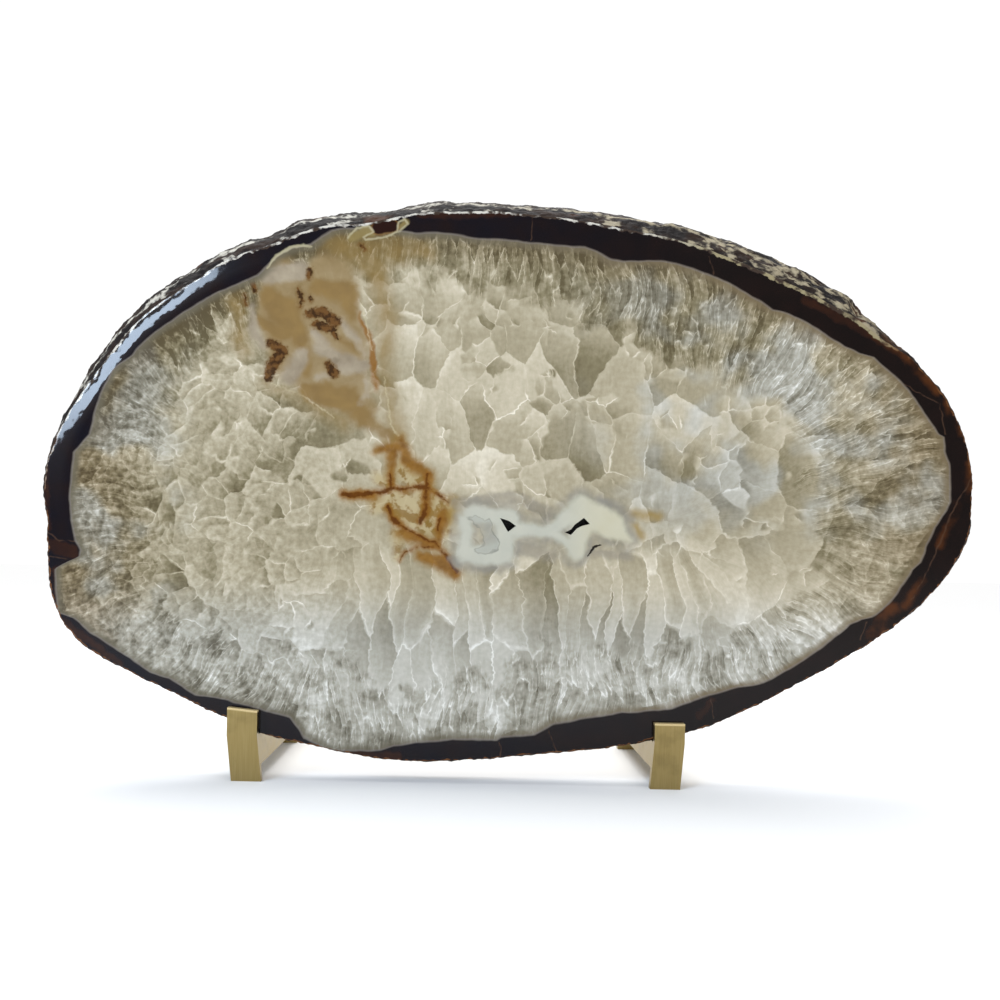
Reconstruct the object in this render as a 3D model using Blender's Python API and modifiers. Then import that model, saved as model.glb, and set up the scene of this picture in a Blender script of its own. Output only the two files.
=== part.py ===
"""A polished agate slice that stands upright on two brass feet.

The slice's outline is a closed curve, extruded to the slice's thickness. Its rim is then cut into
rings, and each ring is pushed in or out: this gives the rounded polished edge, the slope of the
rim and the pitted natural skin. Two small blind cavities open in the middle of its front face.
Each foot is a side profile extruded to the width of the bar, with a short lip in front of the
slice and a taller rest behind it.

Metres, +Z up. The polished face looks towards -Y. The origin is on the ground, in the middle.
"""

import math

import bmesh
import bpy
import numpy as np
from mathutils import Matrix, Vector, noise

MM = 0.001

# The slice
THICKNESS = 16 * MM
EDGE_ROUND = 0.7 * MM
OUTLINE_STEPS = 7
MIDDLE = Vector((0, 120 * MM))

# The slice's widest outline, in millimetres right of the middle and above the ground,
# counter-clockwise from the right tip. The places are where the outline bends, read off the
# photograph by eye against a ruler
OUTLINE = (
    (187, 117), (186.5, 130), (180.5, 150.5), (165.5, 171.5), (150, 185), (136.5, 196.5),
    (105, 211.5), (71, 223), (50, 226.5), (15, 230.5), (-12, 231.5), (-35, 231), (-58, 226.5),
    (-80, 224.5), (-95, 218.5), (-116, 210.5), (-131, 200.5), (-147, 190), (-163.5, 171),
    (-174.5, 154), (-184, 134.5), (-187, 117), (-185.5, 102), (-184.5, 87), (-182, 70),
    (-177, 59.5), (-168, 51), (-149.5, 41), (-129.5, 32), (-113, 24.5), (-96.5, 18), (-78, 14),
    (-49, 8.5), (-20, 8), (0, 9.5), (35, 13.5), (51, 16.5), (60, 18.5), (72, 21), (91, 27.5),
    (115, 40), (135.5, 51.5), (155.5, 65), (169.5, 77), (180, 90.5), (186, 104.5),
)

# How the rim changes on the way round: degrees counter-clockwise from the right, how far the
# front face stops short of the outline, how far the back face passes it, and how rough the skin
# is, from 0 to 1. The two distances are in millimetres.
RIM = (
    (0, 0.2, 0.5, 0.45),
    (18, 1.2, 2.5, 0.6),
    (32, 5.5, 5.5, 1.0),
    (48, 4.5, 6.0, 1.0),
    (68, 3.0, 5.5, 0.9),
    (90, 1.6, 5.0, 0.7),
    (110, 1.6, 5.0, 0.6),
    (128, 2.6, 5.0, 0.8),
    (150, 2.4, 5.0, 0.7),
    (164, 2.6, 4.0, 0.8),
    (180, 0.8, 1.0, 0.6),
    (205, 0.2, -0.6, 0.5),
    (235, -0.2, -1.0, 0.25),
    (262, 0.2, -1.0, 0.5),
    (276, 0.6, -0.6, 0.7),
    (295, -0.2, -1.0, 0.25),
    (325, 0.2, -0.6, 0.5),
)

# Depths of the rings between the two faces, as shares of the thickness
RINGS = (0.05, 0.14, 0.26, 0.38, 0.5, 0.62, 0.74, 0.86, 0.95)

# The rim's slope reaches the back's flare this far before the back face, as a share
SLOPE_SPEED = 1.15

# Beside the polished edges the skin is smoother: its roughness there, and how soon it is full
EDGE_ROUGHNESS = 0.35
EDGE_CALM = 3 * MM

# The skin: rounded lumps with creases between them, and finer grit on top
LUMP_SIZE = 10 * MM
LUMP_HEIGHT = 2.6 * MM
LUMP_MIDDLE = 0.45
GRIT_SIZE = 4.5 * MM
GRIT_HEIGHT = 1.6 * MM

# Cup-like pits in the skin: place in millimetres, share of the thickness, radius, depth
PITS = (
    (127, 203, 0.45, 6.5, 2.2),
    (141, 193, 0.40, 6.0, 2.4),
    (112, 211, 0.60, 5.0, 1.6),
    (84, 221, 0.40, 5.0, 1.4),
    (40, 229, 0.50, 5.0, 1.2),
    (-98, 219, 0.55, 5.5, 1.4),
    (-150, 188, 0.50, 5.0, 1.2),
    (160, 180, 0.70, 6.0, 1.8),
)

# Cavities in the core: corners in millimetres
POCKET_DEPTH = 9 * MM
TRIANGLE_POCKET = ((-2.0, 106.6), (4.4, 103.4), (1.5, 100.9))
BOW_POCKET = ((31.5, 107.5), (34.3, 105.4), (30.3, 102.9), (27.0, 100.5), (24.1, 101.2), (28.3, 103.9))

# The feet
BAR_WIDTH = 12 * MM
PLATE = 3.5 * MM
FOOT_DEPTH = 100 * MM
REST_HEIGHT = 62 * MM
REAR_LEG = 5 * MM
CORNER = 0.8 * MM
CORNER_STEPS = 4
BAR_BEVEL = 0.6 * MM
BEVEL_SEGMENTS = 2
BEVEL_ANGLE = math.radians(40)
GAP = 0.3 * MM

FRONT = -FOOT_DEPTH / 2
FACE_Y = FRONT + PLATE + GAP
BACK_Y = FACE_Y + THICKNESS

# Each foot, in millimetres: the middle of its upper part and of its toe from side to side, the top
# of its lip, how much that falls for each millimetre to the right, its seat and its arch
LEFT_FOOT = (-103.6, -101.6, 28.6, 0.10, 18.2, 6.4)
RIGHT_FOOT = (66.2, 64.7, 26.1, 0.0, 18.2, 8.0)

# Corners closer than this are one corner
WELD = 0.01 * MM

# Faces with more corners than this are the slice's two flat faces
QUAD_CORNERS = 4

# A foot's neighbouring faces that turn less than this are one face
FLAT_ANGLE = math.radians(1)


def clear_objects():
    """Removes what is in the file, such as the default cube."""
    for item in list(bpy.data.objects):
        bpy.data.objects.remove(item, do_unlink=True)


def new_collection(name):
    """A collection under the scene's own."""
    group = bpy.data.collections.new(name)
    bpy.context.scene.collection.children.link(group)
    return group


def new_material(name, colour, roughness, metallic):
    """A plain finish."""
    finish = bpy.data.materials.new(name)
    finish.use_nodes = True
    shader = finish.node_tree.nodes["Principled BSDF"]
    shader.inputs["Base Color"].default_value = (*colour, 1)
    shader.inputs["Roughness"].default_value = roughness
    shader.inputs["Metallic"].default_value = metallic
    return finish


def flat_curve(name, corners, half_depth, smooth, filled):
    """A closed flat outline, extruded both ways by half_depth."""
    curve = bpy.data.curves.new(name, "CURVE")
    curve.dimensions = "2D"
    curve.fill_mode = "BOTH" if filled else "NONE"
    curve.extrude = half_depth
    curve.resolution_u = OUTLINE_STEPS
    spline = curve.splines.new("BEZIER" if smooth else "POLY")
    points = spline.bezier_points if smooth else spline.points
    points.add(len(corners) - 1)
    for point, (across, up) in zip(points, corners):
        if smooth:
            point.co = (across, up, 0)
            point.handle_left_type = "AUTO"
            point.handle_right_type = "AUTO"
        else:
            point.co = (across, up, 0, 1)
    spline.use_cyclic_u = True
    return bpy.data.objects.new(name, curve)


def made_mesh(item, group, turn):
    """Turns a curve object into a mesh object with its caps welded."""
    group.objects.link(item)
    bpy.context.view_layer.update()
    graph = bpy.context.evaluated_depsgraph_get()
    mesh = bpy.data.meshes.new_from_object(item.evaluated_get(graph))
    mesh.transform(turn)
    name = item.name
    bpy.data.objects.remove(item, do_unlink=True)
    shape = bmesh.new()
    shape.from_mesh(mesh)
    bmesh.ops.remove_doubles(shape, verts=shape.verts, dist=WELD)
    shape.to_mesh(mesh)
    shape.free()
    mesh.name = name
    made = bpy.data.objects.new(name, mesh)
    group.objects.link(made)
    return made


def standing(depth):
    """Turns a flat shape upright, its outline in X and Z, at a depth along Y."""
    return Matrix.Translation((0, depth, 0)) @ Matrix.Rotation(math.radians(90), 4, "X")


def rim_at(place):
    """The face's inset, the back's flare and the roughness at a place on the rim."""
    offset = place - MIDDLE
    angle = math.degrees(math.atan2(offset.y, offset.x)) % 360
    table = np.array(RIM)
    return [float(np.interp(angle, table[:, 0], table[:, column], period=360)) for column in (1, 2, 3)]


def rim_push(place, share):
    """How far a rim point moves outwards: share runs from 0 at the front face to 1 at the back."""
    inset, flare, rough = rim_at(place)
    inset *= MM
    flare *= MM
    from_face = share * THICKNESS
    slope = -inset + (inset + flare) * math.sin(math.pi / 2 * min(1.0, share * SLOPE_SPEED))
    near_edge = min(from_face, THICKNESS - from_face)
    rounding = EDGE_ROUND * math.exp(-near_edge / EDGE_ROUND)
    spot = Vector((place.x, from_face, place.y))
    lumps = (LUMP_MIDDLE - noise.voronoi(spot / LUMP_SIZE)[0][0]) * LUMP_HEIGHT
    grit = noise.noise(spot / GRIT_SIZE) * GRIT_HEIGHT
    inner = min(1.0, EDGE_ROUGHNESS + near_edge / EDGE_CALM)
    push = slope - rounding + (lumps + grit) * rough * inner
    for across, up, depth_share, radius, depth in PITS:
        centre = Vector((across * MM, depth_share * THICKNESS, up * MM))
        away = (spot - centre).length / (radius * MM)
        if away < 1:
            push -= depth * MM * (1 - away * away)
    return push


def agate_slice(group, cutters, finish):
    """The stone: rim rings pushed in and out, both faces closed flat, and two blind cavities."""
    corners = [(across * MM, up * MM) for across, up in OUTLINE]
    blank = flat_curve("agate_slice", corners, THICKNESS / 2, True, False)
    stone = made_mesh(blank, group, standing(FACE_Y + THICKNESS / 2))
    shape = bmesh.new()
    shape.from_mesh(stone.data)
    for share in RINGS:
        everything = shape.verts[:] + shape.edges[:] + shape.faces[:]
        level = (0, FACE_Y + share * THICKNESS, 0)
        bmesh.ops.bisect_plane(shape, geom=everything, plane_co=level, plane_no=(0, 1, 0))
    bmesh.ops.recalc_face_normals(shape, faces=shape.faces)
    shape.normal_update()
    outwards = []
    for vert in shape.verts:
        across = Vector((vert.normal.x, vert.normal.z)).normalized()
        if across.dot(Vector((vert.co.x, vert.co.z)) - MIDDLE) < 0:
            across.negate()
        share = (vert.co.y - FACE_Y) / THICKNESS
        outwards.append(across * rim_push(Vector((vert.co.x, vert.co.z)), share))
    for vert, step in zip(shape.verts, outwards):
        vert.co.x += step.x
        vert.co.z += step.y
    open_edges = [edge for edge in shape.edges if edge.is_boundary]
    bmesh.ops.holes_fill(shape, edges=open_edges, sides=0)
    caps = [face for face in shape.faces if len(face.verts) > QUAD_CORNERS]
    bmesh.ops.triangulate(shape, faces=caps)
    bmesh.ops.recalc_face_normals(shape, faces=shape.faces)
    shape.to_mesh(stone.data)
    shape.free()
    stone.data.materials.append(finish)
    for name, outline in (("triangle_cutter", TRIANGLE_POCKET), ("bow_cutter", BOW_POCKET)):
        corners = [(across * MM, up * MM) for across, up in outline]
        tool = made_mesh(flat_curve(name, corners, POCKET_DEPTH, False, True), cutters, standing(FACE_Y))
        tool.hide_render = True
        tool.display_type = "WIRE"
        cut = stone.modifiers.new(name, "BOOLEAN")
        cut.object = tool
        cut.operation = "DIFFERENCE"
        cut.solver = "EXACT"
    return stone


def inner_corner(depth, height, towards):
    """Points of the small round where a plate rises from the seat."""
    points = []
    for step in range(CORNER_STEPS + 1):
        angle = math.pi / 2 * step / CORNER_STEPS
        points.append((
            depth + towards * CORNER * (1 - math.cos(angle)),
            height + CORNER * (1 - math.sin(angle)),
        ))
    return points


def foot_profile(lip, seat, arch):
    """The side view of a foot, depth and height, from the front toe up and round to the back."""
    rest_front = BACK_Y + GAP
    rest_back = rest_front + PLATE
    lip_back = FRONT + PLATE
    end = FRONT + FOOT_DEPTH
    outline = [(FRONT, 0), (FRONT, lip)]
    outline += [(lip_back, lip)] + inner_corner(lip_back, seat, 1)
    outline += inner_corner(rest_front, seat, -1)[::-1]
    outline += [(rest_front, REST_HEIGHT), (rest_back, REST_HEIGHT)]
    outline += inner_corner(rest_back, seat, 1)
    outline += [(end, seat), (end, 0), (end - REAR_LEG, 0), (end - REAR_LEG, arch)]
    outline += [(lip_back, arch), (lip_back, 0)]
    return outline


def foot(name, sizes, group, finish):
    """One brass foot. Below its seat it leans a little towards the other one."""
    top, bottom, lip, fall, seat, arch = sizes
    profile = foot_profile(lip * MM, seat * MM, arch * MM)
    blank = flat_curve(name, profile, BAR_WIDTH / 2, False, True)
    upright = Matrix.Rotation(math.radians(90), 4, "Z") @ Matrix.Rotation(math.radians(90), 4, "X")
    metal = made_mesh(blank, group, upright)
    shape = bmesh.new()
    shape.from_mesh(metal.data)
    bmesh.ops.dissolve_limit(shape, angle_limit=FLAT_ANGLE, verts=shape.verts, edges=shape.edges)
    everything = shape.verts[:] + shape.edges[:] + shape.faces[:]
    bmesh.ops.bisect_plane(shape, geom=everything, plane_co=(0, 0, seat * MM), plane_no=(0, 0, 1))
    bmesh.ops.recalc_face_normals(shape, faces=shape.faces)
    for vert in shape.verts:
        lean = min(1.0, vert.co.z / (seat * MM))
        if vert.co.y < FACE_Y and vert.co.z > lip * MM - WELD:
            vert.co.z -= fall * vert.co.x
        vert.co.x += (bottom + (top - bottom) * lean) * MM
    shape.to_mesh(metal.data)
    shape.free()
    metal.data.materials.append(finish)
    bevel = metal.modifiers.new("edges", "BEVEL")
    bevel.width = BAR_BEVEL
    bevel.segments = BEVEL_SEGMENTS
    bevel.limit_method = "ANGLE"
    bevel.angle_limit = BEVEL_ANGLE
    return metal


def main():
    clear_objects()
    parts = new_collection("agate_slice_on_feet")
    cutters = new_collection("cutters")
    agate = new_material("agate", (0.62, 0.57, 0.48), 0.15, 0.0)
    brass = new_material("satin_brass", (0.52, 0.42, 0.20), 0.38, 1.0)
    agate_slice(parts, cutters, agate)
    foot("left_foot", LEFT_FOOT, parts, brass)
    foot("right_foot", RIGHT_FOOT, parts, brass)


main()
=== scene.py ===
"""The looks of a polished agate slice that stands on two satin brass feet.

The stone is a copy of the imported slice. Its rim is subdivided and roughened, its faces are closed
again with fine rings, and its upper left edge is polished round. What is only colour, such as the
quartz, the dark band, the milky core and the rust veins, is in its material.
"""

import math

import bmesh
import bpy
import numpy as np
from mathutils import Matrix, Vector, kdtree


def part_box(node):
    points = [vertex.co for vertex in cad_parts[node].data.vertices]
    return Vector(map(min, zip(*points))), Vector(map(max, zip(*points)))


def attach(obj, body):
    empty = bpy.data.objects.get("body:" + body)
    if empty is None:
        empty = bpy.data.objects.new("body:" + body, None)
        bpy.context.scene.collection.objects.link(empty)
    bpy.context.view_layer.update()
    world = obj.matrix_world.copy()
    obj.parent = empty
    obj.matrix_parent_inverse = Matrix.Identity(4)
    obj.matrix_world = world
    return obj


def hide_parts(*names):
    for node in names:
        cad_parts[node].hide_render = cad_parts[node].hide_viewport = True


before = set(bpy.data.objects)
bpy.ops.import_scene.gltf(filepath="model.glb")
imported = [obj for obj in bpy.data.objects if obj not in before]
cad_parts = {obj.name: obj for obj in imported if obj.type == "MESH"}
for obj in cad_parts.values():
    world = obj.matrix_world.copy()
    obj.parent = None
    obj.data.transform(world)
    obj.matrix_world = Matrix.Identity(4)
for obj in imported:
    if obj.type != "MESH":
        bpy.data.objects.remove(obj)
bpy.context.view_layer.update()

bl_info = {
    "name": "Agate Slice on Brass Feet",
    "version": (1, 0, 0),
    "blender": (4, 5, 0),
    "location": "View3D > Sidebar > Agate Slice",
    "description": "Shapes and finishes a polished agate slice, its two brass feet and a pale stage",
    "category": "Object",
}

MM = 0.001
SLICE_LOW, SLICE_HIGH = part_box("agate_slice")
FACE_Y = SLICE_LOW.y
BACK_Y = SLICE_HIGH.y
MIDDLE_Y = (FACE_Y + BACK_Y) / 2

# Places on the cut face are in millimetres: right of the middle, and above the ground
MIDDLE = (0, 120)

# The line along which the crystals of both sides meet: its left and right ends and its height
SPINE = (-66, 70, 107)

# The photograph's frame. Its picture is turned a little, and one pixel is 0.4 mm of the cut face
PIXEL = 0.4
PHOTO_ROLL = math.atan2(8.1, 415)
PHOTO_AXIS = (466, 561)
PHOTO_SHIFT = (-40, 222.8)

# Where the dark band ends on its inner side, in pixels of the photograph, clockwise from the left
BAND_EDGE = (
    (95, 405), (111, 370), (131, 355), (149, 335), (170, 321), (188, 309), (207, 297), (226, 288),
    (245, 280), (257, 275), (267, 265), (277, 254), (292, 247), (311, 243), (331, 229), (415, 232), (480, 238), (530, 242),
    (560, 245), (586, 246), (598, 251), (611, 258), (624, 261), (643, 260), (662, 260), (681, 264),
    (700, 270), (713, 275), (732, 284), (751, 295), (774, 309), (791, 314), (811, 324), (829, 336),
    (845, 346), (860, 353), (874, 357), (903, 383), (916, 398), (924, 412), (932, 423), (939, 434),
    (945, 437), (946, 452), (950, 463), (951, 482), (951, 502), (947, 511), (936, 528), (927, 547),
    (922, 563), (913, 570), (905, 584), (897, 595), (890, 604), (881, 612), (872, 618),
    (862, 620), (851, 625), (840, 634), (760, 685), (739, 688), (710, 696), (695, 701), (671, 709),
    (622, 713), (586, 719), (554, 725), (542, 731), (535, 736), (501, 738), (496, 741), (453, 740),
    (416, 743), (394, 747), (380, 751), (327, 750), (303, 739), (298, 729), (289, 719), (278, 715),
    (260, 710), (228, 701), (214, 698), (195, 696), (182, 688), (169, 679), (150, 673), (130, 659),
    (116, 650), (101, 640), (87, 631), (73, 618), (57, 613), (55, 590), (54, 569), (66, 562),
    (78, 557), (79, 550), (74, 541), (71, 522), (68, 500), (70, 479), (73, 452), (89, 434), (92, 420),
)

# What is drawn on the cut face, as tapered strokes in pixels of the photograph: each row is a
# stroke's start, its radius there, its end and its radius there
MARKS = {
    "core": (
        (474, 514, 10, 508, 520, 11), (508, 520, 11, 503, 552, 12), (503, 552, 12, 470, 555, 12),
        (466, 520, 7, 464, 552, 9), (512, 530, 10, 552, 531, 7), (552, 530, 8, 580, 508, 12),
        (580, 508, 12, 610, 524, 15), (610, 526, 14, 629, 541, 4), (585, 520, 15, 575, 552, 9),
        (554, 532, 6, 572, 548, 8),
    ),
    "smoke": (
        (455, 503, 6, 515, 497, 5), (515, 497, 5, 545, 512, 7), (520, 548, 8, 552, 556, 6),
        (600, 500, 5, 632, 518, 5), (590, 552, 4, 628, 556, 5), (452, 560, 5, 500, 572, 4),
    ),
    "swirl": ((474, 519, 4, 486, 527, 6), (486, 527, 6, 492, 545, 6), (492, 545, 5, 480, 551, 3)),
    "slit": ((588, 556, 0.7, 594, 547, 1.2), (594, 547, 1.4, 601, 545, 0.6)),
    "golden_wash": ((634, 514, 4, 658, 516, 4), (455, 500, 5, 452, 516, 5), (636, 526, 4, 640, 536, 4)),
    "veins": (
        (343, 494, 2.4, 358, 496, 3.2), (358, 496, 3.2, 372, 494, 2.4), (372, 494, 2.4, 393, 488, 1.4),
        (393, 488, 1.4, 404, 490, 1), (404, 490, 1, 416, 487, 1.8), (416, 487, 1.8, 428, 490, 2),
        (428, 490, 1.8, 440, 495, 1.2), (440, 495, 1.2, 448, 502, 0.8), (390, 474, 0.8, 390, 489, 1.4),
        (388, 508, 1.6, 392, 517, 2.2), (392, 517, 2.2, 404, 528, 2), (404, 528, 2, 418, 536, 1.4),
        (418, 536, 1.4, 432, 541, 1.2), (432, 541, 1, 438, 547, 1.2), (428, 474, 1, 426, 490, 1.8),
        (426, 492, 2, 425, 510, 2.4), (425, 510, 2.4, 420, 522, 1.8), (440, 520, 1.6, 438, 530, 1),
        (438, 547, 1, 447, 558, 1.8), (447, 558, 1.8, 458, 572, 1.4),
        (400, 560, 0.6, 407, 551, 0.8), (407, 551, 0.8, 420, 547, 0.7), (420, 547, 0.7, 438, 547, 0.9),
    ),
    "amber": (
        (376, 451, 3, 388, 448, 4), (388, 448, 5, 402, 446, 5), (392, 452, 5, 391, 484, 2),
        (401, 440, 3, 406, 460, 5), (407, 460, 5, 430, 478, 4.5), (429, 474, 3.5, 426, 512, 3.5),
        (402, 534, 5, 436, 546, 4), (420, 556, 4, 446, 564, 8), (444, 564, 8, 456, 574, 4),
        (438, 540, 3, 445, 514, 6), (346, 495, 4, 374, 497, 4), (389, 510, 2.5, 404, 530, 3.5),
    ),
    "wheel_ground": (
        (376, 507, 7, 398, 502, 14), (398, 502, 16, 430, 520, 16), (405, 470, 10, 436, 505, 12),
        (380, 478, 7, 388, 480, 8), (398, 534, 6, 398, 556, 4), (448, 500, 5, 450, 530, 6),
    ),
    "patch_ground": (
        (282, 272, 16, 292, 300, 34), (292, 300, 34, 305, 345, 38), (305, 345, 36, 335, 372, 32),
        (335, 372, 32, 362, 408, 16), (330, 278, 24, 345, 340, 22),
    ),
    "lavender": (
        (272, 276, 9, 300, 268, 9), (251, 306, 4, 253, 328, 5), (253, 328, 5, 262, 345, 4),
        (317, 332, 6, 321, 350, 7), (322, 350, 6, 345, 364, 10), (345, 364, 9, 362, 366, 8),
        (303, 358, 8, 290, 375, 9), (342, 321, 4, 350, 334, 5), (350, 334, 4, 362, 352, 3),
        (367, 372, 2.2, 368, 394, 2.6), (368, 394, 2.6, 358, 405, 3), (318, 378, 3, 328, 379, 3),
    ),
    "amber_patch": (
        (268, 296, 9, 285, 312, 14), (285, 312, 15, 300, 340, 10), (262, 322, 7, 284, 334, 9),
        (316, 288, 8, 345, 293, 12), (345, 293, 12, 354, 316, 5), (311, 352, 3, 306, 372, 5),
        (340, 340, 3, 356, 350, 4), (308, 392, 9, 345, 398, 14), (345, 400, 13, 362, 418, 8),
        (362, 418, 7, 392, 438, 6),
    ),
    "brown_wash": (
        (330, 244, 10, 372, 262, 14), (372, 262, 14, 388, 320, 10), (372, 250, 12, 424, 251, 9),
        (388, 320, 9, 384, 372, 6), (384, 372, 7, 396, 430, 8), (262, 384, 3, 300, 396, 4),
        (300, 396, 4, 345, 424, 6), (236, 300, 6, 244, 350, 6),
    ),
    "spots": (
        (309, 314, 4, 322, 312, 5), (322, 312, 5, 336, 322, 5), (316, 324, 4, 332, 329, 4),
        (331, 330, 2, 338, 339, 1.6), (270, 343, 4, 282, 350, 5), (282, 352, 5, 272, 366, 6),
        (272, 366, 5, 268, 378, 4), (328, 364, 3, 334, 373, 5), (310, 270, 2.4, 309, 276, 2.8),
        (298, 289, 1.6, 302, 300, 2.4), (302, 300, 2, 300, 307, 1.2), (310, 297, 1.4, 311, 301, 1.2),
        (253, 284, 1.6, 255, 291, 1.8), (245, 295, 1.2, 246, 304, 1.8), (361, 245, 1.6, 365, 250, 1.2),
    ),
    "streak": ((361, 312, 1.6, 368, 334, 3), (368, 334, 3, 373, 362, 4.4), (373, 362, 4, 376, 388, 2)),
    "pale_edges": (
        (384, 377, 0.6, 388, 402, 0.8), (388, 402, 0.8, 391, 424, 0.7), (391, 424, 0.6, 398, 436, 0.8),
        (270, 383, 0.5, 302, 395, 0.6), (302, 395, 0.6, 334, 417, 0.5), (362, 304, 0.7, 372, 350, 0.8),
    ),
    "hook_body": ((352, 238, 4, 366, 231, 5), (366, 231, 5, 372, 234, 3), (400, 228, 2, 406, 222, 3)),
    "top_lines": (
        (267, 268, 0.6, 276, 256, 1.4), (276, 256, 1.4, 290, 248, 1.6), (290, 248, 1.6, 303, 245, 1.3),
        (303, 245, 1.3, 311, 247, 0.6),
        (348, 238, 0.7, 357, 228, 1), (357, 228, 1, 369, 226, 1), (369, 226, 1, 373, 232, 0.9),
        (373, 232, 0.9, 364, 237, 0.9), (364, 237, 0.9, 366, 240, 0.8), (366, 240, 0.8, 386, 237, 0.9),
        (386, 237, 0.9, 397, 232, 0.8), (397, 232, 0.8, 399, 222, 0.9), (399, 222, 0.9, 405, 219, 1),
        (405, 219, 1, 408, 224, 0.8), (408, 224, 0.8, 398, 232, 0.7),
    ),
    "hook_pocket": ((378, 228, 6, 392, 226, 6), (370, 222, 2, 384, 218, 3)),
    "amber_rim": (
        (872, 333, 4, 905, 353, 5), (905, 353, 5, 938, 390, 5), (950, 404, 5, 964, 432, 5),
        (969, 466, 4, 972, 500, 5), (958, 505, 4, 940, 545, 4), (922, 580, 3, 905, 606, 4),
        (892, 610, 8, 874, 634, 8),
    ),
    "brown_rim": (
        (44, 440, 3, 46, 528, 4), (50, 545, 7, 72, 552, 7), (58, 570, 5, 62, 606, 6),
        (64, 622, 4, 120, 664, 3), (330, 752, 5, 398, 757, 4), (700, 716, 4, 712, 700, 3),
        (420, 216, 3, 520, 213, 3), (600, 760, 4, 690, 742, 4), (806, 300, 4, 868, 333, 4),
    ),
    "pale_cracks": (
        (709, 256, 0.5, 714, 274, 0.6), (533, 214, 0.5, 531, 240, 0.6), (500, 742, 0.5, 501, 760, 0.7),
        (548, 728, 0.5, 556, 752, 0.6), (47, 533, 0.8, 60, 541, 0.8), (60, 541, 0.8, 76, 541, 0.5),
        (972, 478, 0.6, 952, 512, 0.8), (952, 512, 0.8, 935, 555, 0.7), (935, 555, 0.7, 912, 600, 0.4),
        (711, 700, 0.6, 714, 718, 0.5), (50, 556, 0.6, 72, 560, 0.5), (940, 405, 0.7, 945, 434, 0.7),
        (903, 384, 0.4, 940, 405, 0.6), (866, 622, 0.6, 860, 640, 0.6),
    ),
}

# The outlines of the two small cavities in the core, in pixels of the photograph
CAVITIES = (
    ((500, 518), (509, 521), (516, 526), (508, 532)),
    ((584, 518), (590, 524), (582, 526), (577, 528.5), (571, 535), (565, 532.5), (571, 529.5), (575, 524.5)),
)
CAVITY_DEPTH = 9 * MM


class Recipe:
    """A node tree that is built line by line: each method adds a node and returns its output."""

    def __init__(self, tree):
        self.tree = tree

    def feed(self, socket, value):
        """Links an output to a socket, or sets the socket's own value."""
        if isinstance(value, bpy.types.NodeSocket):
            self.tree.links.new(value, socket)
        elif isinstance(value, (int, float)):
            socket.default_value = value
        elif socket.type == "RGBA":
            socket.default_value = (*value, 1)
        else:
            socket.default_value = tuple(value)

    def add(self, kind, output, inputs, **settings):
        """Adds a node. Inputs are given by their number or name."""
        node = self.tree.nodes.new(kind)
        for name, value in settings.items():
            setattr(node, name, value)
        for place, value in inputs.items():
            self.feed(node.inputs[place], value)
        return node.outputs[output]

    def group(self, build, inputs, name=None):
        """Adds a shared group, which is built when it is first used. Returns its outputs."""
        name = name or build.__name__
        tree = bpy.data.node_groups.get(name) or build(name)
        node = self.tree.nodes.new("ShaderNodeGroup")
        node.node_tree = tree
        for place, value in enumerate(inputs):
            self.feed(node.inputs[place], value)
        return list(node.outputs)

    def attribute(self, name):
        return self.add("ShaderNodeAttribute", "Fac", {}, attribute_name=name)

    def maths(self, operation, first, second=0.0, third=0.0):
        values = {0: first, 1: second, 2: third}
        return self.add("ShaderNodeMath", 0, values, operation=operation)

    def limited(self, value):
        """A number kept between 0 and 1."""
        return self.add("ShaderNodeClamp", 0, {0: value})

    def plus(self, first, second):
        return self.maths("ADD", first, second)

    def minus(self, first, second):
        return self.maths("SUBTRACT", first, second)

    def times(self, first, *others):
        """The product of several numbers or masks."""
        for other in others:
            first = self.maths("MULTIPLY", first, other)
        return first

    def vector(self, operation, first, second=(0, 0, 0)):
        return self.add("ShaderNodeVectorMath", 0, {0: first, 1: second}, operation=operation)

    def scaled(self, vector, factor):
        return self.add("ShaderNodeVectorMath", 0, {0: vector, "Scale": factor}, operation="SCALE")

    def dot(self, first, second):
        return self.add("ShaderNodeVectorMath", 1, {0: first, 1: second}, operation="DOT_PRODUCT")

    def length(self, vector):
        return self.add("ShaderNodeVectorMath", 1, {0: vector}, operation="LENGTH")

    def split(self, vector):
        """The three parts of a vector."""
        node = self.tree.nodes.new("ShaderNodeSeparateXYZ")
        self.feed(node.inputs[0], vector)
        return tuple(node.outputs)

    def joined(self, x, y, z):
        return self.add("ShaderNodeCombineXYZ", 0, {0: x, 1: y, 2: z})

    def mixed(self, share, first, second):
        """A colour between two colours."""
        values = {0: share, 6: first, 7: second}
        return self.add("ShaderNodeMix", 2, values, data_type="RGBA")

    def between(self, share, first, second):
        """A number between two numbers."""
        return self.add("ShaderNodeMix", 0, {0: share, 2: first, 3: second}, data_type="FLOAT")

    def ease(self, value, low, high):
        """A soft step: 0 at low and 1 at high, which may be the smaller of the two."""
        values = {0: value, 1: low, 2: high}
        settings = {"interpolation_type": "SMOOTHSTEP", "clamp": False}
        return self.add("ShaderNodeMapRange", 0, values, **settings)

    def clouds(self, place, size, detail=2.0):
        """Cloudy noise over the face, whose clouds have about the given size."""
        return self.group(flat_clouds, (place, size, detail))[0]

    def stray(self, place, size, amount, detail=1.0):
        """A place on the face, pushed about by noise."""
        push = self.group(flat_clouds, (place, size, detail))[1]
        return self.vector("ADD", place, self.scaled(push, amount))

    def ramp(self, value, stops):
        """A colour that runs through (place, colour) stops."""
        node = self.tree.nodes.new("ShaderNodeValToRGB")
        points = node.color_ramp.elements
        for spare in range(len(stops) - 2):
            points.new(0.5)
        for point, (place, colour) in zip(points, stops):
            point.position = place
            point.color = (*colour, 1)
        self.feed(node.inputs[0], value)
        return node.outputs[0]


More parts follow.
